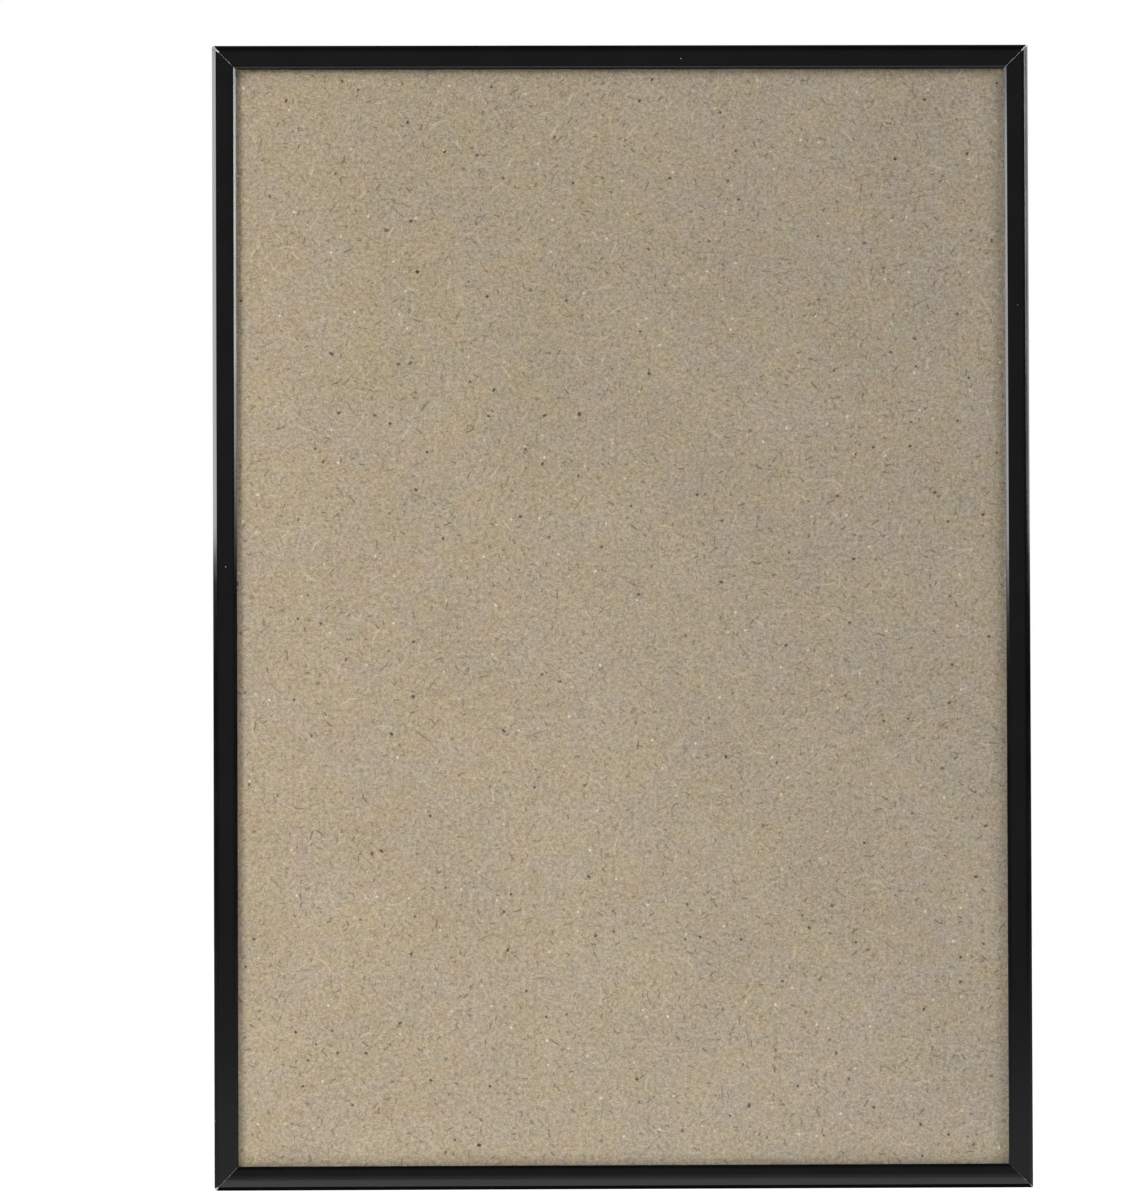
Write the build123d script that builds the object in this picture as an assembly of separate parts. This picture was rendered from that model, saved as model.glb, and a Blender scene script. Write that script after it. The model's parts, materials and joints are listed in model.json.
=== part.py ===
# Narrow-rail picture frame for an A4 sheet: four mitred aluminium rails, joined at the back by
# clamped corner angles, hold a sheet of glass and a hardboard back, which bowed spring clips press
# forward. A toothed hanger plate slides in the channel of the top rail, another in a side rail.
#
# Millimetres. +X is right and +Z up, seen from the front, and +Y points back into the wall.
# The origin lies on the wall plane, where the nail carries the middle notch of the top hanger.
# In each rail's own section, u runs inwards from its outer side and v back from its front.

import os
from math import atan2, degrees, radians, sin

from build123d import *

# Glass and board
glass_width = 210.0
glass_height = 297.0
glass_thickness = 2.0
glass_edge_chamfer = 0.2
board_thickness = 3.0

# Rail section
side_wall = 2.2
edge_clearance = 1.6
face_width = 6.4
crown_rise = 0.4
outer_chamfer = 1.0
sight_bevel = 0.7
sight_land = 0.7
flange_thickness = 1.2
channel_width = 11.0
channel_depth = 3.8
channel_wall = 1.2
slot_width = 7.6
rear_lip_thickness = 1.2
rear_round = 0.4

# Fits inside the channel
channel_clearance = 0.25
seat_clearance = 0.05

# Corner angles, the plates behind them and their screws
angle_leg = 34.0
angle_thickness = 1.5
angle_corner_round = 1.5
backing_thickness = 0.8
screw_to_leg_end = 11.0
screw_radius = 2.0
screw_clearance = 0.05
screw_recess = 0.5
screw_chamfer = 0.3
screw_slot_width = 0.8
screw_slot_depth = 1.0

# Spring clips
clip_span = 44.0
clip_width = 15.0
clip_thickness = 0.5
clip_rise = 4.0
clip_clearance = 0.1
clip_inset = 1.5
clip_corner_round = 2.0
curl_radius = 5.0
curl_angle = 35.0
clip_to_corner = 76.5

# Hanger plates
hanger_end = 8.0
hanger_thickness = 1.2
hanger_corner_round = 2.0
window_height = 6.2
tooth_height = 1.0
tooth_pitch = 2.4
tooth_count = 10

# Places that follow from the sizes above: first across the frame, then from front to back
rail_to_pack = side_wall + edge_clearance
outer_width = glass_width + 2 * rail_to_pack
outer_height = glass_height + 2 * rail_to_pack
channel_middle = side_wall + channel_width / 2
channel_end = side_wall + channel_width
section_width = channel_end + channel_wall
plate_width = channel_width - 2 * channel_clearance
plate_edge = side_wall + channel_clearance
nail_drop = channel_middle - window_height / 2
screw_distance = plate_edge + angle_leg - screw_to_leg_end
window_length = tooth_count * tooth_pitch

lip_thickness = crown_rise + sight_bevel + sight_land
board_front = lip_thickness + glass_thickness
board_back = board_front + board_thickness
flange_front = board_back + clip_rise + 2 * clip_clearance
channel_front = flange_front + flange_thickness
rear_lip_front = channel_front + channel_depth
depth = rear_lip_front + rear_lip_thickness
backing_front = channel_front + seat_clearance
screw_tip = backing_front + backing_thickness
plate_back = rear_lip_front - seat_clearance

# The four sides, each with x inwards, y back and z along the rail, from the middle of its outer edge
front = -depth
top = nail_drop
bottom = top - outer_height
middle = (top + bottom) / 2
pack_middle = bottom + side_wall + seat_clearance + glass_height / 2
left = -outer_width / 2
right = outer_width / 2

sides = {
    "top": Plane((0, front, top), x_dir=(0, 0, -1), z_dir=(1, 0, 0)),
    "right": Plane((right, front, middle), x_dir=(-1, 0, 0), z_dir=(0, 0, -1)),
    "bottom": Plane((0, front, bottom), x_dir=(0, 0, 1), z_dir=(-1, 0, 0)),
    "left": Plane((left, front, middle), x_dir=(1, 0, 0), z_dir=(0, 0, 1)),
}
side_lengths = {"top": outer_width, "right": outer_height, "bottom": outer_width, "left": outer_height}

# The four outer corners, each with x and y inwards along its two rails and z back
corners = {
    "top_left": Plane((left, front, top), x_dir=(1, 0, 0), z_dir=(0, 1, 0)),
    "top_right": Plane((right, front, top), x_dir=(0, 0, -1), z_dir=(0, 1, 0)),
    "bottom_right": Plane((right, front, bottom), x_dir=(-1, 0, 0), z_dir=(0, 1, 0)),
    "bottom_left": Plane((left, front, bottom), x_dir=(0, 0, 1), z_dir=(0, 1, 0)),
}


def rail_section():
    """Crowned front lip, pack groove, and a hardware channel whose slot opens to the back."""
    bevel_start = face_width - sight_bevel
    slot_start = channel_middle - slot_width / 2
    slot_end = channel_middle + slot_width / 2
    crown_start = (outer_chamfer, crown_rise)
    crown_top = ((outer_chamfer + bevel_start) / 2, 0)
    crown_end = (bevel_start, crown_rise)
    side_start = (0, crown_rise + outer_chamfer)
    rear_corner = (0, depth)
    inner_corner = (section_width, depth)
    with BuildSketch() as section:
        with BuildLine():
            ThreePointArc(crown_start, crown_top, crown_end)
            Polyline(
                crown_end,
                (face_width, crown_rise + sight_bevel),
                (face_width, lip_thickness),
                (side_wall, lip_thickness),
                (side_wall, flange_front),
                (section_width, flange_front),
                inner_corner,
                (slot_end, depth),
                (slot_end, rear_lip_front),
                (channel_end, rear_lip_front),
                (channel_end, channel_front),
                (side_wall, channel_front),
                (side_wall, rear_lip_front),
                (slot_start, rear_lip_front),
                (slot_start, depth),
                rear_corner,
                side_start,
                crown_start,
            )
        make_face()
        fillet(section.vertices().sort_by_distance(rear_corner)[0], rear_round)
        fillet(section.vertices().sort_by_distance(inner_corner)[0], rear_round)
    return section.sketch


def rail(side):
    """A length of the section, cut at 45 degrees through the outer corner at each end."""
    plane = sides[side]
    half_length = side_lengths[side] / 2
    bar = extrude(plane * rail_section(), half_length, both=True)
    for end in (-1, 1):
        outer_corner = plane.from_local_coords((0, 0, end * half_length))
        bar = split(bar, Plane(outer_corner, z_dir=plane.x_dir + plane.z_dir * end), Keep.BOTTOM)
    return bar


def sheet(thickness, front_depth):
    """A flat sheet that stands on the bottom rail, with its front face at the given depth."""
    place = Pos(0, front + front_depth + thickness / 2, pack_middle)
    return place * Box(glass_width, thickness, glass_height)


def glass_sheet():
    """Float glass with its sharp edges ground off."""
    pane = sheet(glass_thickness, lip_thickness)
    return chamfer(pane.edges(), glass_edge_chamfer)


def angle_outline():
    """Equal-legged flat angle that lies in the channels of two rails, seen from its outer corner."""
    inner_edge = plate_edge + plate_width
    leg_end = plate_edge + angle_leg
    outline = make_face(
        Polyline(
            (plate_edge, plate_edge),
            (leg_end, plate_edge),
            (leg_end, inner_edge),
            (inner_edge, inner_edge),
            (inner_edge, leg_end),
            (plate_edge, leg_end),
            close=True,
        )
    )
    outer_vertices = outline.vertices().sort_by_distance((inner_edge, inner_edge))[1:]
    return fillet(outer_vertices, angle_corner_round)


def screw_places():
    """One screw in the middle of each leg of an angle."""
    return Locations(
        (screw_distance, channel_middle),
        (channel_middle, screw_distance),
    )


def corner_angle(corner):
    """Tapped angle that the screws push back against the lips of both channels."""
    outline = angle_outline() - screw_places() * Circle(screw_radius + screw_clearance)
    return extrude(corners[corner].offset(plate_back - angle_thickness) * outline, angle_thickness)


def backing_angle(corner):
    """Plain angle on the channel floor, which takes the tips of the screws."""
    return extrude(corners[corner].offset(backing_front) * angle_outline(), backing_thickness)


def set_screw():
    """Headless screw on its own axis, its tip at z = 0 and its driver slot on top."""
    length = depth - screw_recess - screw_tip
    bottom_up = (Align.CENTER, Align.CENTER, Align.MIN)
    shank = Cylinder(screw_radius, length, align=bottom_up)
    shank = chamfer(shank.edges().filter_by(GeomType.CIRCLE), screw_chamfer)
    driver_slot = Box(2 * screw_radius, screw_slot_width, screw_slot_depth, align=bottom_up)
    return shank - Pos(0, 0, length - screw_slot_depth) * driver_slot


def set_screws(corner):
    """The two screws of one corner, standing on the backing angle."""
    tip_plane = corners[corner].offset(screw_tip)
    return Compound(children=[tip_plane * place * set_screw() for place in screw_places()])


def clip_side_view():
    """Bowed strip, seen along the rail's width: its crest at the back, its curled ends on the board.

    Two tangent arcs meet at the turning angle on each side, and the ends turn up past the low points.
    """
    crest = flange_front - clip_clearance - clip_thickness / 2
    low = board_back + clip_clearance + clip_thickness / 2
    bow = crest - low
    turn = degrees(2 * atan2(bow, clip_span / 2))
    bow_radius = clip_span / 2 / sin(radians(turn)) - curl_radius
    with BuildSketch() as strip:
        with BuildLine():
            CenterArc((0, crest - bow_radius), bow_radius, 90 - turn, 2 * turn)
            CenterArc((clip_span / 2, low + curl_radius), curl_radius, 270 - turn, turn + curl_angle)
            CenterArc((-clip_span / 2, low + curl_radius), curl_radius, 270 - curl_angle, turn + curl_angle)
        trace(line_width=clip_thickness)
    return strip.sketch


def spring_clip(side, along):
    """Spring-steel strip tucked between the board and the flange of one rail."""
    rail_plane = sides[side]
    outer_edge = rail_plane.from_local_coords((rail_to_pack + clip_inset, 0, along))
    strip_plane = Plane(outer_edge, x_dir=-rail_plane.z_dir, z_dir=rail_plane.x_dir)
    strip = extrude(strip_plane * clip_side_view(), clip_width)
    end_corners = [e for e in strip.edges().filter_by(GeomType.LINE) if e.length < 1.5 * clip_thickness]
    return fillet(end_corners, clip_corner_round)


def hanger_window():
    """Slot for the nail. Its upper edge is cut into teeth, with a notch in the middle."""
    half_window = window_length / 2
    upper_edge = nail_drop
    lower_edge = channel_middle + window_height / 2
    teeth = [(upper_edge, -half_window)]
    for tooth in range(tooth_count):
        start = tooth * tooth_pitch - half_window
        teeth.append((upper_edge + tooth_height, start + tooth_pitch / 2))
        teeth.append((upper_edge, start + tooth_pitch))
    return make_face(Polyline(*teeth, (lower_edge, half_window), (lower_edge, -half_window), close=True))


def hanger(side):
    """Toothed plate that slides along the channel, close under its lips."""
    rail_plane = sides[side]
    rail_middle = rail_plane.from_local_coords((0, plate_back, 0))
    plate_plane = Plane(rail_middle, x_dir=rail_plane.x_dir, z_dir=-rail_plane.y_dir)
    plate = RectangleRounded(plate_width, window_length + 2 * hanger_end, hanger_corner_round)
    return extrude(plate_plane * (Pos(channel_middle, 0) * plate - hanger_window()), hanger_thickness)


def all_parts():
    """Every separate piece of the frame, by its name."""
    parts = {f"{side}_rail": rail(side) for side in sides}
    parts["glass_sheet"] = glass_sheet()
    parts["backing_board"] = sheet(board_thickness, board_front)
    for corner in corners:
        parts[f"corner_angle_{corner}"] = corner_angle(corner)
        parts[f"backing_angle_{corner}"] = backing_angle(corner)
        parts[f"set_screws_{corner}"] = set_screws(corner)
    for side in ("top", "bottom"):
        parts[f"spring_clip_{side}"] = spring_clip(side, 0)
    clip_height = outer_height / 2 - clip_to_corner
    for side, upwards in (("left", 1), ("right", -1)):
        parts[f"spring_clip_{side}_upper"] = spring_clip(side, upwards * clip_height)
        parts[f"spring_clip_{side}_lower"] = spring_clip(side, -upwards * clip_height)
    parts["hanger_top"] = hanger("top")
    parts["hanger_side"] = hanger("right")
    return parts


os.makedirs("parts", exist_ok=True)
for name, part in all_parts().items():
    export_step(part, f"parts/{name}.step")
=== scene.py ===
# A narrow black picture frame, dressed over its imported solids. Metres, +Z up, the glass faces -Y.
import bpy
import json
import math
import numpy as np
from mathutils import Matrix, Vector


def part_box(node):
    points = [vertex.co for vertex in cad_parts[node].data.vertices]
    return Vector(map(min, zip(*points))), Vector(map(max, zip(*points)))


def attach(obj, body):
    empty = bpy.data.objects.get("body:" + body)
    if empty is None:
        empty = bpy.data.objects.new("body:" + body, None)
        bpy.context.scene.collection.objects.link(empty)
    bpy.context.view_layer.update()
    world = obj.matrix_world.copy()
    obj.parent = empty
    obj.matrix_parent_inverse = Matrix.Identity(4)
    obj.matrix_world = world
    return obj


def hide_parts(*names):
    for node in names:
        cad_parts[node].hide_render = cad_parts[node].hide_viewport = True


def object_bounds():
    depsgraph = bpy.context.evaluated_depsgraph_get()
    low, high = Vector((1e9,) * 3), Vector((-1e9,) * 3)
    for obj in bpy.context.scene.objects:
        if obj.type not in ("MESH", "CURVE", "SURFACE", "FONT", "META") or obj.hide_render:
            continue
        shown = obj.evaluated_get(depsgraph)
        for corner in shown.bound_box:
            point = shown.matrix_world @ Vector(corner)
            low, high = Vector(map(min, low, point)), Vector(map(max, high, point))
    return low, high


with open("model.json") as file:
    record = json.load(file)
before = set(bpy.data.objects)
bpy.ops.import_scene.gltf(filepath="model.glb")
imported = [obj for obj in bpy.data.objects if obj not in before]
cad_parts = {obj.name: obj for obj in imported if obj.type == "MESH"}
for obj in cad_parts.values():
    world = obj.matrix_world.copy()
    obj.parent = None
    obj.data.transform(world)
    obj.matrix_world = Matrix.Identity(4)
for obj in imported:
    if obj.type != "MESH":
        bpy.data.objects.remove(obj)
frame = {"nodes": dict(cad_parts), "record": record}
cadLow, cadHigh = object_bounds()
nodes = frame["nodes"]
bodyOf = {node: body for body, members in frame["record"]["behaviour"]["bodies"].items() for node in members}
mm = 0.001
print("frame loaded,", len(nodes), "solids' nodes")

left, front, bottom = cadLow
right, rear, top = cadHigh
middle = (bottom + top) / 2
back = np.array((0.0, 1.0, 0.0))

# Where each rail runs: the middle of its outer front edge, the way to the glass, and its two mitres.
# A point of a rail is start + u * inward + v * back + t * (inward x back), with u, v and t in mm.
railRuns = {
    "top_rail": {"start": (0, front, top), "inward": (0, 0, -1), "mitres": ("top_left", "top_right")},
    "right_rail": {
        "start": (right, front, middle), "inward": (-1, 0, 0), "mitres": ("top_right", "bottom_right"),
    },
    "bottom_rail": {
        "start": (0, front, bottom), "inward": (0, 0, 1), "mitres": ("bottom_right", "bottom_left"),
    },
    "left_rail": {"start": (left, front, middle), "inward": (1, 0, 0), "mitres": ("bottom_left", "top_left")},
}


def railPoints(run, u, v, t):
    inward = np.array(run["inward"], float)
    along = np.cross(inward, back)
    steps = u[..., None] * inward + v[..., None] * back + t[..., None] * along
    return np.array(run["start"], float) + mm * steps


# The outline with every corner p turned into an arc of radius r about p + bisector * r / sin(half angle);
# the arc's points are the blend of its two end radii by the sines of the angle covered and left.
def roundLoop(corners, radii, steps):
    p = np.asarray(corners, float)
    r = np.asarray(radii, float)[:, None]
    toLast = np.roll(p, 1, 0) - p
    toNext = np.roll(p, -1, 0) - p
    toLast /= np.linalg.norm(toLast, axis=1, keepdims=True)
    toNext /= np.linalg.norm(toNext, axis=1, keepdims=True)
    half = np.arccos(np.clip((toLast * toNext).sum(1, keepdims=True), -1, 1)) / 2
    bisector = toLast + toNext
    bisector /= np.maximum(np.linalg.norm(bisector, axis=1, keepdims=True), 1e-9)
    centre = p + bisector * r / np.sin(half)
    first = p + toLast * r / np.tan(half) - centre
    last = p + toNext * r / np.tan(half) - centre
    sweep = np.maximum(np.pi - 2 * half, 1e-6)[:, None]
    w = np.linspace(0, 1, steps + 1)[None, :, None]
    blend = np.sin((1 - w) * sweep) * first[:, None] + np.sin(w * sweep) * last[:, None]
    arcs = centre[:, None] + blend / np.sin(sweep)
    arcs = np.where(r[:, None] > 0, arcs, p[:, None])
    keep = (r > 0) | (np.arange(steps + 1)[None] == 0)
    return arcs[keep]


# Unit normals of a closed outline, to the right of the way it runs: the mean of both sides' normals,
# stretched so that a step of 1 along it moves both sides by 1.
def loopNormals(loop):
    ahead = np.roll(loop, -1, 0) - loop
    ahead /= np.linalg.norm(ahead, axis=1, keepdims=True)
    sideways = np.stack([ahead[:, 1], -ahead[:, 0]], 1)
    mean = sideways + np.roll(sideways, 1, 0)
    mean /= np.linalg.norm(mean, axis=1, keepdims=True)
    return mean / np.maximum((mean * sideways).sum(1, keepdims=True), 0.4)


# Quads of a grid, row by row: columns close on themselves, rows only where the surface is a ring.
def gridQuads(rows, columns, ring=False):
    r, c = np.meshgrid(np.arange(rows if ring else rows - 1), np.arange(columns), indexing="ij")
    below, beside = (r + 1) % rows, (c + 1) % columns
    corners = [r * columns + c, r * columns + beside, below * columns + beside, below * columns + c]
    return np.stack(corners, -1).reshape(-1, 4)


# One mesh from a grid of points. The sum of a . (b x c) / 6 over its triangles is its volume, and the
# faces turn round where that is negative, so that they always point outwards.
def makePiece(name, points, materials, cappedEnds=True, ring=False, sharpAngle=32, faceKinds=None, uv=None):
    rows, columns = points.shape[:2]
    quads = gridQuads(rows, columns, ring)
    flat = points.reshape(-1, 3)
    a, b, c, d = (flat[quads[:, k]] - flat.mean(0) for k in range(4))
    volume = (a * np.cross(b, c)).sum() + (a * np.cross(c, d)).sum()
    faces = quads.tolist()
    if cappedEnds:
        faces += [list(range(columns))[::-1], list(range((rows - 1) * columns, rows * columns))]
    if volume < 0:
        faces = [face[::-1] for face in faces]
    mesh = bpy.data.meshes.new(name)
    mesh.from_pydata(flat.tolist(), [], faces)
    for material in materials:
        mesh.materials.append(material)
    if faceKinds is not None:
        mesh.polygons.foreach_set("material_index", faceKinds.astype(np.int32))
    if uv is not None:
        corner = np.zeros(len(mesh.loops), np.int32)
        mesh.loops.foreach_get("vertex_index", corner)
        layer = mesh.uv_layers.new(name="railLength")
        layer.data.foreach_set("uv", uv.reshape(-1, 2)[corner].ravel().astype(np.float32))
    smooth = np.ones(len(mesh.polygons), bool)
    smooth[len(quads):] = False  # flat end faces
    mesh.set_sharp_from_angle(angle=math.radians(sharpAngle))
    mesh.polygons.foreach_set("use_smooth", smooth)
    piece = bpy.data.objects.new(name, mesh)
    bpy.context.scene.collection.objects.link(piece)
    return piece


# The new piece takes the place of a solid: it moves with the same body, and the solid is hidden.
def standFor(piece, node):
    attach(piece, bodyOf[node])
    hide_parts(node)


def addNode(tree, kind, inputs=None, **settings):
    node = tree.nodes.new("ShaderNode" + kind)
    for key, value in settings.items():
        setattr(node, key, value)
    for key, value in (inputs or {}).items():
        if isinstance(value, bpy.types.NodeSocket):
            tree.links.new(value, node.inputs[key])
        else:
            node.inputs[key].default_value = value
    return node


def calc(tree, operation, first, second=0.0, clamp=False):
    return addNode(tree, "Math", {0: first, 1: second}, operation=operation, use_clamp=clamp).outputs[0]


def ease(tree, value, low, high, start=0.0, end=1.0):
    inputs = {"Value": value, "From Min": low, "From Max": high, "To Min": start, "To Max": end}
    return addNode(tree, "MapRange", inputs, interpolation_type="SMOOTHSTEP").outputs[0]


def mixColour(tree, amount, first, second, blend="MIX"):
    inputs = {0: amount, 6: first, 7: second}
    return addNode(tree, "Mix", inputs, data_type="RGBA", blend_type=blend).outputs[2]


def noiseAt(tree, place, scale, detail=2.0, rough=0.5):
    inputs = {"Vector": place, "Scale": scale, "Detail": detail, "Roughness": rough}
    return addNode(tree, "TexNoise", inputs).outputs["Fac"]


# A finish starts as a plain shader, with Object coordinates in mm for its patterns.
def newFinish(name):
    finish = bpy.data.materials.new(name)
    finish.use_nodes = True
    tree = finish.node_tree
    shader = tree.nodes["Principled BSDF"]
    place = addNode(tree, "TexCoord").outputs["Object"]
    place = addNode(tree, "VectorMath", {0: place, "Scale": 1 / mm}, operation="SCALE").outputs[0]
    return finish, tree, shader, place


def setShader(tree, shader, **values):
    for key, value in values.items():
        name = key.replace("_", " ")
        if isinstance(value, bpy.types.NodeSocket):
            tree.links.new(value, shader.inputs[name])
        else:
            shader.inputs[name].default_value = value


def bumpOn(tree, shader, height, strength, distance):
    bump = addNode(tree, "Bump", {"Height": height, "Strength": strength, "Distance": distance})
    tree.links.new(bump.outputs["Normal"], shader.inputs["Normal"])


coat = {
    "colour": (0.0033, 0.0034, 0.004, 1), "worn": (0.0045, 0.0045, 0.0052, 1), "roughness": 0.13, "ior": 1.62,
    "roughSpread": (-0.04, 0.05), "lineStretch": (9.0, 0.02, 0.0), "patchScale": 0.06, "grainScale": 5.0,
    "wornFrom": (0.35, 0.75), "bump": 0.25, "bumpDepth": 0.02,
    "dustColour": (0.55, 0.55, 0.53, 1), "dustCell": 3.2, "dustSize": 0.11, "dustShare": 0.1,
}


# Satin black coat: faint lines along the rail's length from the way it was drawn, and a few dust grains.
def makeCoat():
    finish, tree, shader, place = newFinish("blackCoat")
    along = addNode(tree, "UVMap", uv_map="railLength").outputs["UV"]
    drawn = addNode(tree, "VectorMath", {0: along, 1: coat["lineStretch"]}, operation="MULTIPLY").outputs[0]
    lines = noiseAt(tree, drawn, 1.0, 3.0, 0.6)
    patches = noiseAt(tree, place, coat["patchScale"], 3.0)
    grain = noiseAt(tree, place, coat["grainScale"], 2.0)
    dust = addNode(tree, "TexVoronoi", {"Vector": place, "Scale": 1 / coat["dustCell"]})
    near = calc(tree, "LESS_THAN", dust.outputs["Distance"], coat["dustSize"] / coat["dustCell"])
    pick = addNode(tree, "SeparateColor", {"Color": dust.outputs["Color"]}).outputs["Red"]
    dusty = calc(tree, "MULTIPLY", near, calc(tree, "LESS_THAN", pick, coat["dustShare"]))
    colour = mixColour(tree, ease(tree, patches, *coat["wornFrom"]), coat["colour"], coat["worn"])
    colour = mixColour(tree, dusty, colour, coat["dustColour"])
    smoothest, roughest = (coat["roughness"] + step for step in coat["roughSpread"])
    rough = ease(tree, calc(tree, "ADD", lines, patches), 0.6, 1.4, smoothest, roughest)
    setShader(tree, shader, Base_Color=colour, Roughness=rough, IOR=coat["ior"])
    height = calc(tree, "ADD", calc(tree, "MULTIPLY", lines, 0.5), calc(tree, "MULTIPLY", grain, 0.5))
    bumpOn(tree, shader, height, coat["bump"], coat["bumpDepth"] * mm)
    return finish


metal = {"darkest": 0.72, "cloudScale": 0.25, "polishSpread": (0.07, -0.05), "bumpDepth": 0.02}


# Metal with a grain and faint clouds, both in its colour and in its polish. Sawn metal is partly dull.
def makeMetal(name, colour, roughness, scale, bump, metallic=1.0):
    finish, tree, shader, place = newFinish(name)
    streaks = noiseAt(tree, place, scale, 3.0, 0.6)
    cloud = noiseAt(tree, place, metal["cloudScale"], 2.0)
    dark = tuple(metal["darkest"] * level for level in colour) + (1,)
    tone = calc(tree, "ADD", calc(tree, "MULTIPLY", streaks, 0.5), calc(tree, "MULTIPLY", cloud, 0.5))
    tint = mixColour(tree, ease(tree, tone, 0.35, 0.65), dark, tuple(colour) + (1,))
    rough = ease(tree, tone, 0.3, 0.7, *(roughness + step for step in metal["polishSpread"]))
    setShader(tree, shader, Base_Color=tint, Roughness=rough, Metallic=metallic)
    bumpOn(tree, shader, streaks, bump, metal["bumpDepth"] * mm)
    return finish


pane = {"colour": (0.985, 0.996, 0.99, 1), "ior": 1.52}


# Clear glass that refracts, and that lets lamplight and stray light through to the board behind it.
def makeGlass():
    finish, tree, shader = newFinish("clearGlass")[:3]
    setShader(tree, shader, Base_Color=pane["colour"], IOR=pane["ior"], Roughness=0.0)
    setShader(tree, shader, Transmission_Weight=1.0)
    path = addNode(tree, "LightPath").outputs
    through = addNode(tree, "BsdfTransparent", {"Color": pane["colour"]}).outputs[0]
    surface = shader.outputs[0]
    for light in ("Is Diffuse Ray", "Is Shadow Ray"):
        surface = addNode(tree, "MixShader", {0: path[light], 1: surface, 2: through}).outputs[0]
    tree.links.new(surface, tree.nodes["Material Output"].inputs["Surface"])
    return finish


stroke = {"seedStep": (17.3, 9.1), "spread": 0.9, "shortest": 0.5, "fadeWidth": 0.35, "fadeLength": 0.6}


# Strokes scattered one to a cell: each is turned by a random angle and bent, and is 1 within its width and
# length. A cell's random red turns it, its green bends it and its blue decides whether it is there.
def scatterStrokes(tree, plane, layer):
    shift = tuple(layer["seed"] * step for step in stroke["seedStep"]) + (0,)
    shifted = addNode(tree, "VectorMath", {0: plane, 1: shift}, operation="ADD").outputs[0]
    inputs = {"Vector": shifted, "Scale": 1 / layer["cell"], "Randomness": stroke["spread"]}
    cells = addNode(tree, "TexVoronoi", inputs, voronoi_dimensions="2D")
    pick = addNode(tree, "SeparateColor", {"Color": cells.outputs["Color"]}).outputs
    local = addNode(tree, "VectorMath", {0: shifted, 1: cells.outputs["Position"]}, operation="SUBTRACT")
    angle = calc(tree, "MULTIPLY", pick["Red"], 2 * math.pi)
    inputs = {"Vector": local.outputs[0], "Angle": angle}
    turned = addNode(tree, "VectorRotate", inputs, rotation_type="Z_AXIS")
    axes = addNode(tree, "SeparateXYZ", {0: turned.outputs[0]}).outputs
    bend = calc(tree, "MULTIPLY", calc(tree, "SUBTRACT", pick["Green"], 0.5), 2 * layer["bend"])
    bowed = calc(tree, "MULTIPLY", calc(tree, "MULTIPLY", axes["X"], axes["X"]), bend)
    offLine = calc(tree, "ABSOLUTE", calc(tree, "ADD", axes["Y"], bowed))
    longer = calc(tree, "MULTIPLY", pick["Green"], 1 - stroke["shortest"])
    length = calc(tree, "MULTIPLY", layer["length"], calc(tree, "ADD", stroke["shortest"], longer))
    along = calc(tree, "DIVIDE", calc(tree, "ABSOLUTE", axes["X"]), length)
    inWidth = ease(tree, offLine, stroke["fadeWidth"] * layer["width"], layer["width"], 1.0, 0.0)
    inLength = ease(tree, along, stroke["fadeLength"], 1.0, 1.0, 0.0)
    there = ease(tree, pick["Blue"], 1 - layer["share"], 1.0, 0.0, layer["strength"])
    return calc(tree, "MULTIPLY", calc(tree, "MULTIPLY", inWidth, inLength), there, clamp=True)
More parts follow.
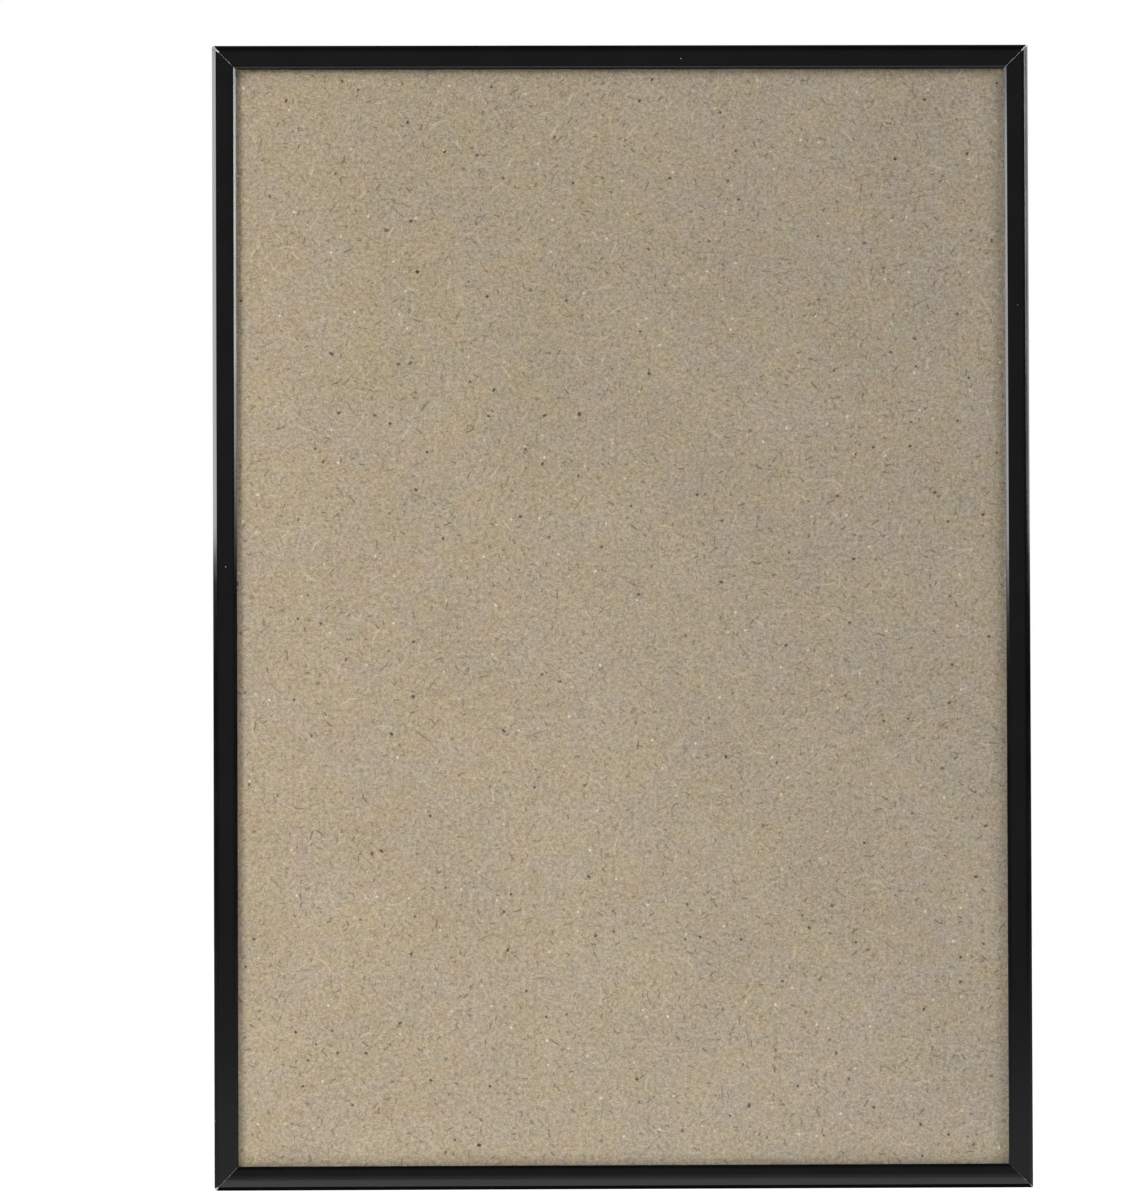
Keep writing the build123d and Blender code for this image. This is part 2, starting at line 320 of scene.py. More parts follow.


# The board's looks. Painted light makes its foot lighter and its top darker than its middle, by one share.
# Grains are blotches by size in mm with their contrast, tints are blotches of pink and green or yellow and
# blue, and strokes, in mm, are short hairs, dots, fibres and pale specks.
board = {
    "colour": (0.4, 0.323, 0.242, 1), "leftTint": (1.0, 0.989, 0.945, 1), "rightTint": (1.0, 1.013, 1.03, 1),
    "backColour": (0.27, 0.2, 0.125, 1), "backRange": (0.6, 1.3), "backGrain": 1.3, "backCloud": 0.05,
    "cloudShare": 0.12, "weaveShare": 0.05, "screenPitch": 1.7,
    "backRoughness": 0.85, "backBump": (0.6, 0.12),
    "edgeColour": (0.24, 0.175, 0.105, 1), "edgeDarkest": 0.55, "edgeGrain": 2.2, "edgeBump": (0.7, 0.2),
    "edgeRoughness": 0.9, "roughness": 0.62, "bump": (0.3, 0.03), "paintedFootLight": 0.022, "tintFrom": (0.32, 0.68),
    "grains": [
        {"size": 0.45, "contrast": 1.28}, {"size": 1.0, "contrast": 0.95}, {"size": 3.2, "contrast": 0.24},
        {"size": 11.0, "contrast": 0.09}, {"size": 36.0, "contrast": 0.16},
    ],
    "tints": [
        {"size": 6.0, "from": (1.028, 0.988, 0.99, 1), "to": (0.982, 1.009, 0.995, 1)},
        {"size": 4.3, "from": (1.0, 1.0, 0.95, 1), "to": (1.0, 1.0, 1.045, 1)},
        {"size": 15.0, "from": (1.008, 1.0, 0.95, 1), "to": (0.992, 1.0, 1.045, 1)},
    ],
    "strokes": [
        {"seed": 1, "cell": 1.4, "length": 0.95, "width": 0.27, "bend": 0.2, "share": 0.75, "strength": 0.36,
         "colour": (0.13, 0.1, 0.06, 1)},
        {"seed": 2, "cell": 2.8, "length": 0.95, "width": 0.31, "bend": 0.2, "share": 0.5, "strength": 0.62,
         "colour": (0.1, 0.08, 0.05, 1)},
        {"seed": 3, "cell": 6.5, "length": 0.66, "width": 0.48, "bend": 0.2, "share": 0.34, "strength": 0.92,
         "colour": (0.04, 0.032, 0.025, 1)},
        {"seed": 4, "cell": 6.0, "length": 1.6, "width": 0.32, "bend": 0.14, "share": 0.34, "strength": 0.66,
         "colour": (0.1, 0.075, 0.05, 1)},
        {"seed": 5, "cell": 13.0, "length": 3.2, "width": 0.3, "bend": 0.07, "share": 0.45, "strength": 0.46,
         "colour": (0.1, 0.08, 0.06, 1)},
        {"seed": 6, "cell": 8.0, "length": 3.2, "width": 0.34, "bend": 0.12, "share": 0.5, "strength": 0.42,
         "colour": (0.66, 0.57, 0.4, 1)},
        {"seed": 7, "cell": 5.0, "length": 0.5, "width": 0.42, "bend": 0.0, "share": 0.22, "strength": 0.85,
         "colour": (0.74, 0.68, 0.56, 1)},
        {"seed": 8, "cell": 40.0, "length": 0.75, "width": 0.62, "bend": 0.2, "share": 0.5, "strength": 1.0,
         "colour": (0.03, 0.026, 0.022, 1)},
    ],
}


# Smooth face of the hardboard: grey-brown, mottled, with specks and short fibres lying every way, and with
# painted light that makes it lighter towards its foot.
def makeBoardFront():
    finish, tree, shader, place = newFinish("boardFront")
    axes = addNode(tree, "SeparateXYZ", {0: place}).outputs
    plane = addNode(tree, "CombineXYZ", {0: axes["X"], 1: axes["Z"]}).outputs[0]
    # painted light: the colour grows lighter towards the board's foot and darker towards its top
    level = ease(tree, axes["Z"], top / mm, bottom / mm, 1 - board["paintedFootLight"], 1 + board["paintedFootLight"])
    for grain in board["grains"]:
        blotch = calc(tree, "SUBTRACT", noiseAt(tree, plane, 1 / grain["size"], 1.5), 0.5)
        level = calc(tree, "ADD", calc(tree, "MULTIPLY", blotch, grain["contrast"]), level)
    across = ease(tree, axes["X"], left / mm, right / mm)
    sides = mixColour(tree, across, board["leftTint"], board["rightTint"])
    colour = mixColour(tree, 1.0, board["colour"], sides, "MULTIPLY")
    for tint in board["tints"]:
        share = ease(tree, noiseAt(tree, plane, 1 / tint["size"], 3.0), *board["tintFrom"])
        colour = mixColour(tree, 1.0, colour, mixColour(tree, share, tint["from"], tint["to"]), "MULTIPLY")
    # the grain mottle together with the painted light gradient, multiplied into the colour
    mottleAndPaintedLight = addNode(tree, "CombineColor", {0: level, 1: level, 2: level}).outputs[0]
    colour = mixColour(tree, 1.0, colour, mottleAndPaintedLight, "MULTIPLY")
    for layer in board["strokes"]:
        colour = mixColour(tree, scatterStrokes(tree, plane, layer), colour, layer["colour"])
    setShader(tree, shader, Base_Color=colour, Roughness=board["roughness"])
    strength, depth = board["bump"]
    bumpOn(tree, shader, level, strength, depth * mm)
    return finish


# Rough back of the board, pressed on a wire screen: a weave of sin(2 pi x / pitch) and sin(2 pi z / pitch).
def makeBoardBack():
    finish, tree, shader, place = newFinish("boardBack")
    axes = addNode(tree, "SeparateXYZ", {0: place}).outputs
    turn = 2 * math.pi / board["screenPitch"]
    across = calc(tree, "SINE", calc(tree, "MULTIPLY", axes["X"], turn))
    upward = calc(tree, "SINE", calc(tree, "MULTIPLY", axes["Z"], turn))
    weave = calc(tree, "MULTIPLY", across, upward)
    grain = noiseAt(tree, place, board["backGrain"], 3.0, 0.6)
    cloud = calc(tree, "MULTIPLY", noiseAt(tree, place, board["backCloud"], 2.0), board["cloudShare"])
    tone = calc(tree, "ADD", calc(tree, "MULTIPLY", grain, 1 - board["cloudShare"]), cloud)
    tone = calc(tree, "ADD", tone, calc(tree, "MULTIPLY", weave, board["weaveShare"]))
    base = board["backColour"][:3]
    shades = [tuple(share * level for level in base) + (1,) for share in board["backRange"]]
    colour = mixColour(tree, ease(tree, tone, 0.25, 0.75), *shades)
    setShader(tree, shader, Base_Color=colour, Roughness=board["backRoughness"])
    strength, depth = board["backBump"]
    height = calc(tree, "ADD", calc(tree, "MULTIPLY", weave, 0.5), grain)
    bumpOn(tree, shader, height, strength, depth * mm)
    return finish


def makeBoardEdge():
    finish, tree, shader, place = newFinish("boardEdge")
    fibres = noiseAt(tree, place, board["edgeGrain"], 4.0, 0.65)
    dark = tuple(board["edgeDarkest"] * level for level in board["edgeColour"][:3]) + (1,)
    colour = mixColour(tree, fibres, dark, board["edgeColour"])
    setShader(tree, shader, Base_Color=colour, Roughness=board["edgeRoughness"])
    strength, depth = board["edgeBump"]
    bumpOn(tree, shader, fibres, strength, depth * mm)
    return finish


blackCoat = makeCoat()
sawnMetal = makeMetal("sawnMetal", (0.74, 0.74, 0.75), roughness=0.34, scale=3.0, bump=0.3, metallic=0.3)
zincPlate = makeMetal("zincPlate", (0.58, 0.59, 0.59), roughness=0.3, scale=1.2, bump=0.15)
screwSteel = makeMetal("screwSteel", (0.42, 0.41, 0.38), roughness=0.34, scale=2.5, bump=0.2)
springSteel = makeMetal("springSteel", (0.25, 0.255, 0.265), roughness=0.3, scale=1.5, bump=0.15)
clearGlass = makeGlass()
boardFront, boardBack, boardEdge = makeBoardFront(), makeBoardBack(), makeBoardEdge()
print("finishes made")

# One rail's cross section in mm: u runs from the outer edge towards the glass, v from the front to the back.
rail = {
    "face": 6.4, "wall": 2.2, "lip": 1.8, "chamfer": 1.0, "crown": 0.4, "bevel": 0.7,
    "flangeFront": 11.0, "flange": 1.2, "channel": 11.0, "channelWall": 1.2, "slot": 7.6, "rearLip": 1.2,
    "edgeRound": 0.12, "rearRound": 0.4, "crownSteps": 14, "arcSteps": 4, "settle": 0.3,
    "nickReach": 0.35, "tipReach": 0.15, "endStretch": 20.0, "innerRows": 9,
}
# How open each mitre stands, in mm: all along it, in one slot and at one nick, and its worn tip's radius.
mitres = {
    "top_left": {
        "rest": 0.02, "slot": 0.26, "slotAt": 1.2, "slotReach": 0.65, "nick": 0.07, "nickAt": 4.5, "tip": 0.5,
    },
    "top_right": {
        "rest": 0.045, "slot": 0.22, "slotAt": 0.85, "slotReach": 0.85, "nick": 0.02, "nickAt": 5.4,
        "tip": 0.15,
    },
    "bottom_right": {
        "rest": 0.01, "slot": 0.0, "slotAt": 1.0, "slotReach": 1.0, "nick": 0.035, "nickAt": 2.2, "tip": 0.2,
    },
    "bottom_left": {
        "rest": 0.02, "slot": 0.06, "slotAt": 0.3, "slotReach": 0.4, "nick": 0.02, "nickAt": 4.0, "tip": 0.6,
    },
}


# The section's outline. Its crown is a circle's arc, v = 0 at the middle and crown at both edges:
# v = R - sqrt(R^2 - x^2). The outline starts and ends inside the channel, where the finish's seam is hidden.
def railLoop():
    depth = (rear - front) / mm
    faceStart, faceEnd = rail["chamfer"], rail["face"] - rail["bevel"]
    halfFace = (faceEnd - faceStart) / 2
    crownRadius = (halfFace**2 + rail["crown"] ** 2) / (2 * rail["crown"])
    across = np.linspace(-halfFace, halfFace, rail["crownSteps"] + 1)
    crown = np.stack([across + faceStart + halfFace, crownRadius - np.sqrt(crownRadius**2 - across**2)], 1)
    channelStart, channelEnd = rail["wall"], rail["wall"] + rail["channel"]
    slotStart = (channelStart + channelEnd - rail["slot"]) / 2
    slotEnd = slotStart + rail["slot"]
    inner = channelEnd + rail["channelWall"]
    floor, lips = rail["flangeFront"] + rail["flange"], depth - rail["rearLip"]
    small, large = rail["edgeRound"], rail["rearRound"]
    rest = [
        (rail["face"], rail["crown"] + rail["bevel"], small), (rail["face"], rail["lip"], small),
        (channelStart, rail["lip"], small), (channelStart, rail["flangeFront"], small),
        (inner, rail["flangeFront"], small), (inner, depth, large),
        (slotEnd, depth, small), (slotEnd, lips, small), (channelEnd, lips, small),
        (channelEnd, floor, small), (channelStart, floor, small),
        (channelStart, lips, small), (slotStart, lips, small), (slotStart, depth, small), (0, depth, large),
        (0, rail["crown"] + rail["chamfer"], small),
    ]
    corners = np.concatenate([crown, [point[:2] for point in rest]])
    radii = np.concatenate([[small], np.zeros(len(crown) - 2), [small], [point[2] for point in rest]])
    loop = roundLoop(corners, radii, rail["arcSteps"])
    hidden = np.linalg.norm(loop - (channelStart, floor), axis=1).argmin()
    return np.roll(loop, -hidden, 0)


# A rail is its outline carried along t from mitre to mitre. At each end the outline stops on the 45 degree
# plane |t| = length / 2 - u, drawn in by the mitre's opening, and reaches full size that far behind it. One
# more row, settle further back, keeps the bent light of the end from spreading along the rail.
# opening = rest + slot exp(-((u - slotAt) / slotReach)^4) + nick exp(-((u - nickAt) / nickReach)^2). At the
# tip a round of radius r leaves the outer edge r before the corner and crosses the mitre r (1 - 1 / sqrt 2)
# inside it, and tip = r exp(-(u / tipReach)^2) keeps it to the outer edge.
def makeRail(name, run):
    loop = railLoop()
    normals = loopNormals(loop)
    length = (right - left if abs(run["inward"][2]) else top - bottom) / mm
    u, v = loop[:, 0], loop[:, 1]
    rows = []
    for sign, corner in zip((-1, 1), run["mitres"]):
        joint = mitres[corner]
        opening = joint["rest"] + joint["slot"] * np.exp(-(((u - joint["slotAt"]) / joint["slotReach"]) ** 4))
        opening = opening + joint["nick"] * np.exp(-(((u - joint["nickAt"]) / rail["nickReach"]) ** 2))
        tip = joint["tip"] * np.exp(-((u / rail["tipReach"]) ** 2))
        drawn = loop - normals * (opening + (1 - math.sqrt(0.5)) * tip)[:, None]
        ends = [(drawn[:, 0], drawn[:, 1], sign * (length / 2 - drawn[:, 0])),
                (u, v, sign * (length / 2 - u - opening - tip)),
                (u, v, sign * (length / 2 - u - opening - tip - rail["settle"]))]
        rows.append(ends if sign < 0 else ends[::-1])
    shares = np.linspace(-1, 1, rail["innerRows"])
    inner = [(u, v, share * (length / 2 - rail["endStretch"]) + 0 * u) for share in shares]
    stations = rows[0] + inner + rows[1]
    points = np.stack([railPoints(run, *station) for station in stations])
    reach = np.concatenate([[0], np.cumsum(np.linalg.norm(np.diff(loop, axis=0), axis=1))])
    uv = np.stack([np.stack([reach, station[2]], 1) for station in stations])
    kinds = np.zeros((len(stations) - 1, len(loop)), int)
    kinds[0], kinds[-1] = 1, 1
    faceKinds = np.append(kinds.ravel(), [1, 1])
    piece = makePiece(name + "_skin", points, [blackCoat, sawnMetal], faceKinds=faceKinds, uv=uv)
    standFor(piece, name)


for name, run in railRuns.items():
    makeRail(name, run)
print("rails made")

# A spring clip's strip in mm, and how many steps go over each of its curls and over its bow.
clip = {
    "span": 44.0, "width": 15.0, "thickness": 0.5, "curl": 5.0, "curlAngle": 35.0, "cornerRound": 2.0,
    "edge": 0.12, "curlSteps": 12, "bowSteps": 38,
}
clipRails = {
    "top": "top_rail", "bottom": "bottom_rail", "left_upper": "left_rail", "left_lower": "left_rail",
    "right_upper": "right_rail", "right_lower": "right_rail",
}


# The strip's middle line: an arc that bows to the back between two low points, each with a curl of radius
# curl that goes on past it. turn = 2 atan(bow / half span) is the slope where bow and curl meet.
def clipLine(bow):
    half = clip["span"] / 2
    turn = 2 * math.atan2(bow, half)
    bowRadius = half / math.sin(turn) - clip["curl"]
    curlTurn = math.radians(clip["curlAngle"])
    down = 1.5 * math.pi
    steps = [clip["curlSteps"], clip["bowSteps"], clip["curlSteps"]]
    # close steps at the strip's ends, for their round corners
    ends = 1 - np.cos(np.linspace(0, math.pi / 2, clip["curlSteps"]))
    leftCurl = down - curlTurn + (curlTurn + turn) * ends
    middleArc = math.pi / 2 + turn - 2 * turn * np.linspace(0, 1, clip["bowSteps"] + 2)[1:-1]
    rightCurl = down - turn + (curlTurn + turn) * (1 - ends[::-1])
    centres = np.repeat([-half, 0.0, half], steps)
    heights = np.repeat([clip["curl"], bow - bowRadius, clip["curl"]], steps)
    radii = np.repeat([clip["curl"], bowRadius, clip["curl"]], steps)
    angles = np.concatenate([leftCurl, middleArc, rightCurl])
    outward = np.stack([np.cos(angles), np.sin(angles)], 1)
    line = np.stack([centres, heights], 1) + radii[:, None] * outward
    normal = outward * np.repeat([-1, 1, -1], steps)[:, None]
    return line, normal


# A clip is a flat rounded section carried along that line; near each end its half width shrinks by
# round - sqrt(round^2 - (round - distance to the end)^2), which rounds the corners.
def makeClip(name, railName):
    low, high = (np.array(corner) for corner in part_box("spring_clip_" + name))
    run = railRuns[railName]
    inward = np.array(run["inward"], float)
    along = np.cross(inward, back)
    start = np.array(run["start"], float)
    uEnds = sorted(((low - start) @ inward / mm, (high - start) @ inward / mm))
    tMiddle = ((low + high) / 2 - start) @ along / mm
    vFront, vBack = (low[1] - front) / mm, (high[1] - front) / mm
    line, normal = clipLine(vBack - vFront - clip["thickness"])
    step = np.linalg.norm(np.diff(line, axis=0), axis=1)
    travel = np.concatenate([[0], np.cumsum(step)])
    toEnd = np.minimum(travel, travel[-1] - travel)
    corner = clip["cornerRound"]
    short = np.maximum(corner - toEnd, 0)
    half = (uEnds[1] - uEnds[0]) / 2 - corner + np.sqrt(np.maximum(corner**2 - short**2, 0))
    flatSide, flatThick = clip["width"] / 2, clip["thickness"] / 2
    corners = [(-flatSide, -flatThick), (flatSide, -flatThick), (flatSide, flatThick), (-flatSide, flatThick)]
    section = roundLoop(corners, [clip["edge"]] * 4, 3)
    side, inset = np.sign(section[:, 0]), np.abs(section[:, 0]) - flatSide
    u = sum(uEnds) / 2 + side[None] * (half[:, None] + inset[None])
    lifted = line[:, None] + normal[:, None] * section[None, :, 1:2]
    t = tMiddle + lifted[..., 0]
    v = vFront + clip["thickness"] / 2 + lifted[..., 1]
    piece = makePiece("clip_strip_" + name, railPoints(run, u, v, t), [springSteel])
    standFor(piece, "spring_clip_" + name)


for name, railName in clipRails.items():
    makeClip(name, railName)
print("clips made")

# Hangers: a plate with a long window, whose outer edge has V teeth for a nail.
hanger = {
    "window": 6.2, "windowLength": 24.0, "teeth": 10, "toothHeight": 1.0, "cornerRound": 2.0, "edge": 0.14,
    "cornerSteps": 6, "sideSteps": 6, "edgeSteps": 3,
}


# The plate is ruled between two loops with as many points each: its outer outline, and the window with
# its zigzag edge. Rows go over the outer edge's round, across the face, over the window's round and back.
def makeHanger(name, railName):
    low, high = (np.array(corner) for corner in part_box(name))
    run = railRuns[railName]
    inward = np.array(run["inward"], float)
    along = np.cross(inward, back)
    start = np.array(run["start"], float)
    uLow, uHigh = sorted(((low - start) @ inward / mm, (high - start) @ inward / mm))
    tEnds = sorted(((low - start) @ along / mm, (high - start) @ along / mm))
    tMiddle, halfLength = sum(tEnds) / 2, (tEnds[1] - tEnds[0]) / 2
    vFront, vBack = (low[1] - front) / mm, (high[1] - front) / mm
    windowLow = (uLow + uHigh - hanger["window"]) / 2
    windowHigh = windowLow + hanger["window"]
    halfWindow = hanger["windowLength"] / 2
    count = 2 * hanger["teeth"] + 1
    zigzag = np.stack([np.linspace(-halfWindow, halfWindow, count),
                       windowLow + hanger["toothHeight"] * (np.arange(count) % 2)], 1)
    sideCount = 2 * (hanger["cornerSteps"] + 1) + hanger["sideSteps"]
    sideWay = np.linspace(windowLow, windowHigh, sideCount + 2)[1:-1]
    lower = np.stack([np.linspace(halfWindow, -halfWindow, count), np.full(count, windowHigh)], 1)
    window = np.concatenate([
        zigzag, np.stack([np.full(sideCount, halfWindow), sideWay], 1),
        lower, np.stack([np.full(sideCount, -halfWindow), sideWay[::-1]], 1),
    ])
    r = hanger["cornerRound"]
    straight = np.linspace(-(halfLength - r), halfLength - r, count + 2)[1:-1]
    quarter = np.linspace(0, math.pi / 2, hanger["cornerSteps"] + 1)
    side = np.linspace(uLow + r, uHigh - r, hanger["sideSteps"] + 2)[1:-1]
    rightSide = np.concatenate([
        np.stack([halfLength - r + r * np.sin(quarter), uLow + r - r * np.cos(quarter)], 1),
        np.stack([np.full(len(side), halfLength), side], 1),
        np.stack([halfLength - r + r * np.cos(quarter), uHigh - r + r * np.sin(quarter)], 1),
    ])
    outline = np.concatenate([
        np.stack([straight, np.full(count, uLow)], 1), rightSide,
        np.stack([-straight, np.full(count, uHigh)], 1), rightSide[::-1] * (-1, 1),
    ])
    outer, inner = loopNormals(outline), loopNormals(window)
    edge = hanger["edge"]
    swing = np.linspace(0, math.pi / 2, hanger["edgeSteps"] + 1)
    rows = []
    for loop, normals, way in ((outline, outer, -1), (window, inner, 1)):
        for angle in (swing if way < 0 else swing[::-1]):
            moved = loop + way * normals * edge * (1 - math.cos(angle))
            rows.append((moved, vFront + edge - edge * math.sin(angle)))
    backRows = [(moved, vFront + vBack - height) for moved, height in rows[::-1]]
    points = np.stack([railPoints(run, moved[:, 1], np.full(len(moved), height), tMiddle + moved[:, 0])
                       for moved, height in rows + backRows])
    piece = makePiece(name + "_plate", points, [zincPlate], cappedEnds=False, ring=True)
    standFor(piece, name)


makeHanger("hanger_top", "top_rail")
makeHanger("hanger_side", "right_rail")
print("hangers made")

# Backing board and pane: slabs with broken edges, in mm. The board's two faces and its sawn sides are
# finished apart.
slabs = {
    "backing_board": {
        "edge": 0.25, "cornerRound": 0.5, "finishes": (boardFront, boardBack, boardEdge), "slot": "hardboard",
    },
    "glass_sheet": {"edge": 0.2, "cornerRound": 0.3, "finishes": (clearGlass,), "slot": "clear_glass"},
}


# A slab is its outline carried over a quarter round, the side and the other quarter round, and closed by two
# flat faces.
def makeSlab(node, slab, steps=3):
    low, high = (np.array(corner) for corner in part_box(node))
    corners = [(low[0], low[2]), (high[0], low[2]), (high[0], high[2]), (low[0], high[2])]
    loop = roundLoop(np.array(corners) / mm, [slab["cornerRound"]] * 4, 6)
    normals = loopNormals(loop)
    swing = np.linspace(0, math.pi / 2, steps + 1)
    inset = slab["edge"] * (1 - np.sin(swing))
    rise = slab["edge"] * (1 - np.cos(swing))
    insets = np.concatenate([inset, inset[::-1]])
    depths = np.concatenate([low[1] / mm + rise, high[1] / mm - rise[::-1]])
    drawn = loop[None] - insets[:, None, None] * normals[None]
    points = mm * np.stack([drawn[..., 0], depths[:, None] + 0 * drawn[..., 0], drawn[..., 1]], -1)
    kinds = np.append(np.full((len(insets) - 1) * len(loop), 2), [0, 1])
    kinds = np.minimum(kinds, len(slab["finishes"]) - 1)
    piece = makePiece(node + "_slab", points, slab["finishes"], faceKinds=kinds)
    standFor(piece, node)


for node, slab in slabs.items():
    makeSlab(node, slab)
print("board and pane made")

# The solids that stay as they are get their finishes.
solidFinishes = {"corner_angle": zincPlate, "backing_angle": zincPlate, "set_screws": screwSteel}
for name, node in nodes.items():
    for start, finish in solidFinishes.items():
        if name.startswith(start):
            node.data.materials.clear()
            node.data.materials.append(finish)
print("solids finished")

# Studio: a white room for the camera, dim in front of the frame and dark at its sides, by how far a way
# points to the back. Soft key lamps light the board and aren't mirrored in the rails. Cards close by are for
# the chamfers to mirror, each at a fixed place on one axis, with spans on the other two and a level that may
# fade over z. The floor glows more far from the frame for the camera, and near the frame it also glows for
# mirror rays alone, a painted reflection that ends towards the front.
studio = {
    "white": 1.0, "backLevel": 1.0, "backRamp": (0.1, 0.5), "frontLevel": 0.125, "frontRamp": (-0.7, -0.92),
    "floorDrop": 0.042, "floorColour": (0.58, 0.58, 0.58, 1), "floorEdge": -0.36, "floorReach": 14.0,
    "floorGlow": (0.42, 0.85), "glowRamp": (0.5, 1.2),
    "floorMirrored": (0.4, 0.0), "mirroredRamp": (0.6, 1.1), "mirroredFront": (-0.28, -0.1),
    "keys": [
        {"name": "leftKey", "azimuth": -37, "elevation": 20, "distance": 0.7, "size": 0.3, "power": 2.95},
        {"name": "rightKey", "azimuth": 45, "elevation": 30, "distance": 2.4, "size": 1.3, "power": 28.0},
        {"name": "lowFill", "azimuth": -15, "elevation": -38, "distance": 0.5, "size": 0.5, "power": 1.1},
    ],
    "cards": [
        {"name": "leftCard", "x": -0.36, "y": (-0.2, 0.25), "z": (-0.121, 0.034), "level": 5.9},
        {"name": "rightCard", "x": 0.36, "y": (-0.065, -0.014), "z": (-0.13, 0.045), "level": (0.0, 10.2),
         "fade": (-0.125, -0.03)},
        {"name": "rightEdgeCard", "x": 0.36, "y": (0.01, 0.3), "z": (-0.121, 0.034), "level": 3.6},
        {"name": "tableCard", "x": (-0.5, 0.5), "y": -0.3, "z": (-0.341, -0.25), "level": (0.32, 0.115),
         "fade": (-0.301, -0.25)},
        # painted shade: a black card under the frame, mirrored in the bottom chamfer in place of the floor's
        # shade
        {"name": "blackCard", "x": (-0.16, 0.16), "y": (-0.045, 0.03), "z": bottom - 0.041, "level": 0.0},
    ],
}


def makeFloorFinish():
    finish = bpy.data.materials.new("paleFloor")
    finish.use_nodes = True
    tree = finish.node_tree
    shader = tree.nodes["Principled BSDF"]
    setShader(tree, shader, Base_Color=studio["floorColour"], Roughness=0.9)
    path = addNode(tree, "LightPath").outputs
    place = addNode(tree, "TexCoord").outputs["Object"]
    away = addNode(tree, "VectorMath", {0: place}, operation="LENGTH").outputs["Value"]
    forward = addNode(tree, "SeparateXYZ", {0: place}).outputs["Y"]
    shown = ease(tree, away, *studio["glowRamp"], *studio["floorGlow"])
    seen = calc(tree, "MULTIPLY", path["Is Camera Ray"], shown)
    # painted reflection: near the frame the floor glows for mirror rays alone, less towards the front
    near = ease(tree, away, *studio["mirroredRamp"], *studio["floorMirrored"])
    mirrored = calc(tree, "MULTIPLY", near, ease(tree, forward, *studio["mirroredFront"]))
    mirrored = calc(tree, "MULTIPLY", path["Is Glossy Ray"], mirrored)
    glow = addNode(tree, "Emission", {"Strength": calc(tree, "ADD", seen, mirrored)})
    lit = addNode(tree, "AddShader", {0: shader.outputs[0], 1: glow.outputs[0]})
    under = addNode(tree, "NewGeometry").outputs["Backfacing"]
    clear = addNode(tree, "BsdfTransparent")
    both = addNode(tree, "MixShader", {0: under, 1: lit.outputs[0], 2: clear.outputs[0]})
    tree.links.new(both.outputs[0], tree.nodes["Material Output"].inputs["Surface"])
    return finish


# The floor is two sheets that meet at y = floorEdge. The one in front is for the camera alone, so that the
# rails mirror the dim room there.
def makeFloor():
    finish = makeFloorFinish()
    level, edge, reach = bottom - studio["floorDrop"], studio["floorEdge"], studio["floorReach"]
    for name, near, far in (("floor", edge, reach), ("frontFloor", -reach, edge)):
        mesh = bpy.data.meshes.new(name)
        corners = [(-reach, near, level), (reach, near, level), (reach, far, level), (-reach, far, level)]
        mesh.from_pydata(corners, [], [(0, 1, 2, 3)])
        mesh.materials.append(finish)
        sheet = bpy.data.objects.new(name, mesh)
        sheet.visible_shadow = False  # the low fill shines up past it
        if name == "frontFloor":
            sheet.visible_diffuse, sheet.visible_glossy, sheet.visible_transmission = (False,) * 3
        bpy.context.scene.collection.objects.link(sheet)


# A card that only the frame's shiny faces see: it is mirrored in them and lights nothing else.
def makeCard(card):
    spans = [card[axis] if isinstance(card[axis], tuple) else (card[axis], card[axis]) for axis in "xyz"]
    first, second = [k for k, axis in enumerate("xyz") if isinstance(card[axis], tuple)]
    corners = np.tile([span[0] for span in spans], (4, 1))
    corners[[1, 2], first] = spans[first][1]
    corners[[2, 3], second] = spans[second][1]
    mesh = bpy.data.meshes.new(card["name"])
    mesh.from_pydata(corners.tolist(), [], [(0, 1, 2, 3)])
    finish = bpy.data.materials.new(card["name"])
    finish.use_nodes = True
    finish.cycles.emission_sampling = "NONE"
    tree = finish.node_tree
    level = card["level"]
    if "fade" in card:
        height = addNode(tree, "SeparateXYZ", {0: addNode(tree, "TexCoord").outputs["Object"]}).outputs["Z"]
        level = ease(tree, height, *card["fade"], *level)
    glow = addNode(tree, "Emission", {"Strength": level})
    tree.links.new(glow.outputs[0], tree.nodes["Material Output"].inputs["Surface"])
    mesh.materials.append(finish)
    sheet = bpy.data.objects.new(card["name"], mesh)
    sheet.visible_camera, sheet.visible_diffuse = False, False
    sheet.visible_shadow, sheet.visible_transmission = False, False
    bpy.context.scene.collection.objects.link(sheet)


# A key lamp stands at distance * (sin az cos el, -cos az cos el, sin el) from the frame's middle and faces
# the frame.
def makeKey(key):
    lamp = bpy.data.lights.new(key["name"], "AREA")
    lamp.shape = "DISK"
    lamp.size = key["size"]
    lamp.energy = key["power"]
    lamp.cycles.use_multiple_importance_sampling = False
    azimuth, elevation = math.radians(key["azimuth"]), math.radians(key["elevation"])
    level = math.cos(elevation)
    way = Vector((math.sin(azimuth) * level, -math.cos(azimuth) * level, math.sin(elevation)))
    holder = bpy.data.objects.new(key["name"], lamp)
    place = Matrix.Translation(Vector((0, front, middle)) + key["distance"] * way)
    holder.matrix_world = place @ (-way).to_track_quat("-Z", "Y").to_matrix().to_4x4()
    holder.visible_camera, holder.visible_glossy = False, False
    bpy.context.scene.collection.objects.link(holder)


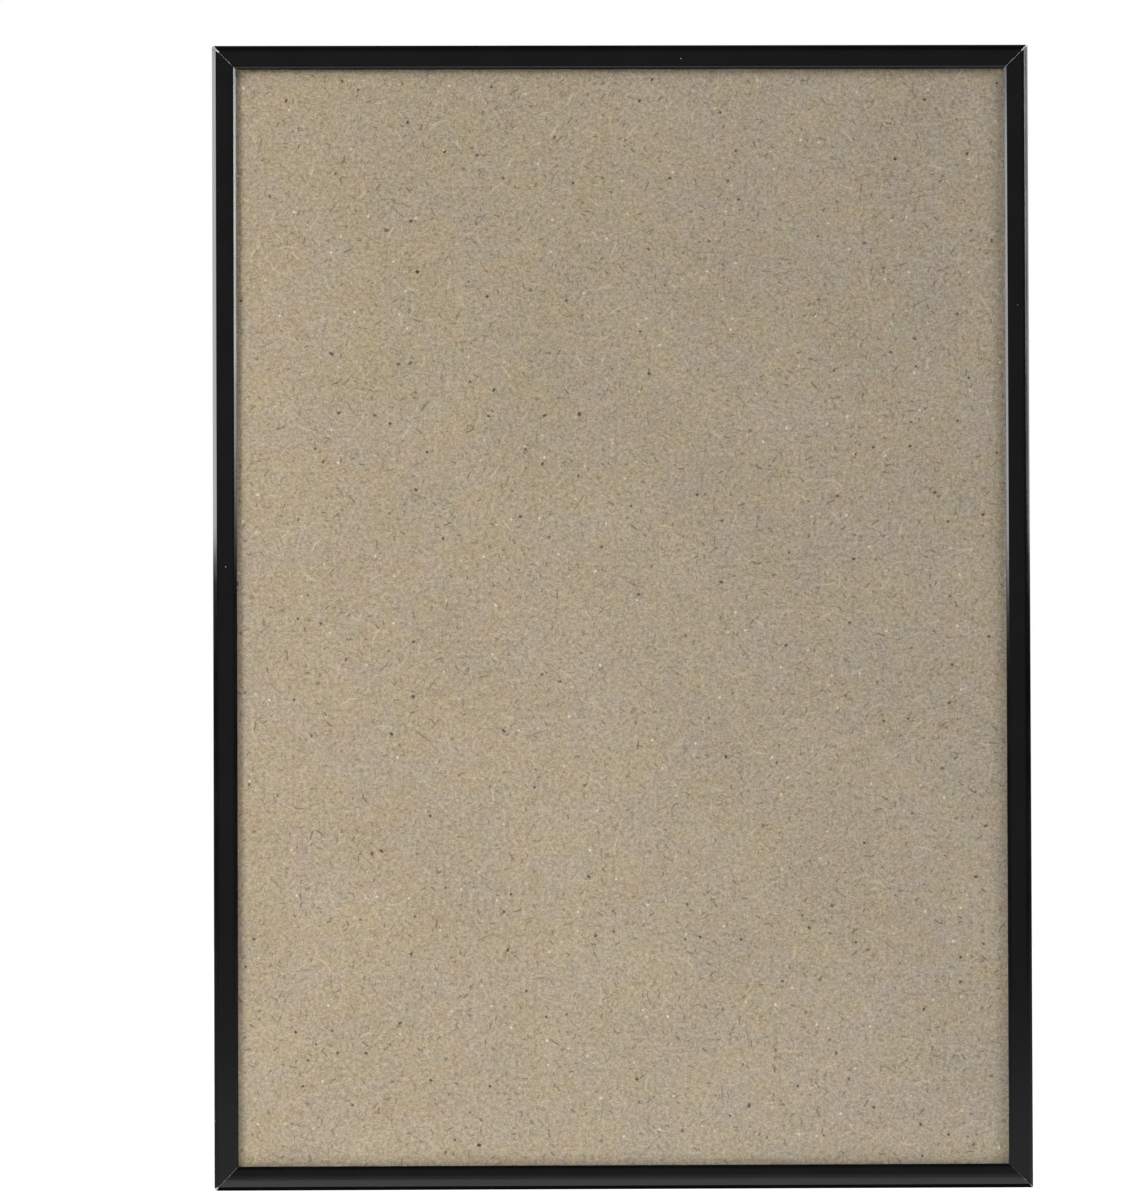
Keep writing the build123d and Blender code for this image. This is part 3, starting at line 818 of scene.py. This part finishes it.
def makeRoom():
    world = bpy.data.worlds.new("room")
    bpy.context.scene.world = world
    world.use_nodes = True
    tree = world.node_tree
    tree.nodes.clear()
    way = addNode(tree, "SeparateXYZ", {0: addNode(tree, "TexCoord").outputs["Generated"]}).outputs["Y"]
    behind = ease(tree, way, *studio["backRamp"], 0.0, studio["backLevel"])
    level = calc(tree, "ADD", behind, ease(tree, way, *studio["frontRamp"], 0.0, studio["frontLevel"]))
    seen = addNode(tree, "LightPath").outputs["Is Camera Ray"]
    shown = addNode(tree, "Mix", {0: seen, 2: level, 3: studio["white"]}, data_type="FLOAT").outputs[0]
    sky = addNode(tree, "Background", {"Color": (1, 1, 1, 1), "Strength": shown})
    addNode(tree, "OutputWorld", {"Surface": sky.outputs[0]})


makeFloor()
for key in studio["keys"]:
    makeKey(key)
for card in studio["cards"]:
    makeCard(card)
makeRoom()
print("studio lit")

# The camera stands well back, a little left of the middle and low, and looks slightly up and to the right.
camera = {
    "place": (-0.0713, -2.5158, -0.2173), "yaw": 1.313, "pitch": 1.694, "roll": -0.203, "lens": 281.98,
    "sensor": 36.0, "clip": (0.05, 60.0),
}


# forward = (sin yaw cos pitch, cos yaw cos pitch, sin pitch); right and up are then turned about it by roll.
def makeCamera():
    yaw, pitch, roll = (math.radians(camera[key]) for key in ("yaw", "pitch", "roll"))
    forward = np.array((math.sin(yaw) * math.cos(pitch), math.cos(yaw) * math.cos(pitch), math.sin(pitch)))
    level = np.array((math.cos(yaw), -math.sin(yaw), 0.0))
    upward = np.cross(level, forward)
    axisX = math.cos(roll) * level + math.sin(roll) * upward
    axisY = math.cos(roll) * upward - math.sin(roll) * level
    lens = bpy.data.cameras.new("camera")
    lens.lens, lens.sensor_width = camera["lens"], camera["sensor"]
    lens.clip_start, lens.clip_end = camera["clip"]
    holder = bpy.data.objects.new("camera", lens)
    axes = np.stack([axisX, axisY, -forward], 1)
    holder.matrix_world = Matrix.Translation(camera["place"]) @ Matrix(axes.tolist()).to_4x4()
    bpy.context.scene.collection.objects.link(holder)
    bpy.context.scene.camera = holder


makeCamera()
bpy.context.scene.view_settings.view_transform = "Standard"
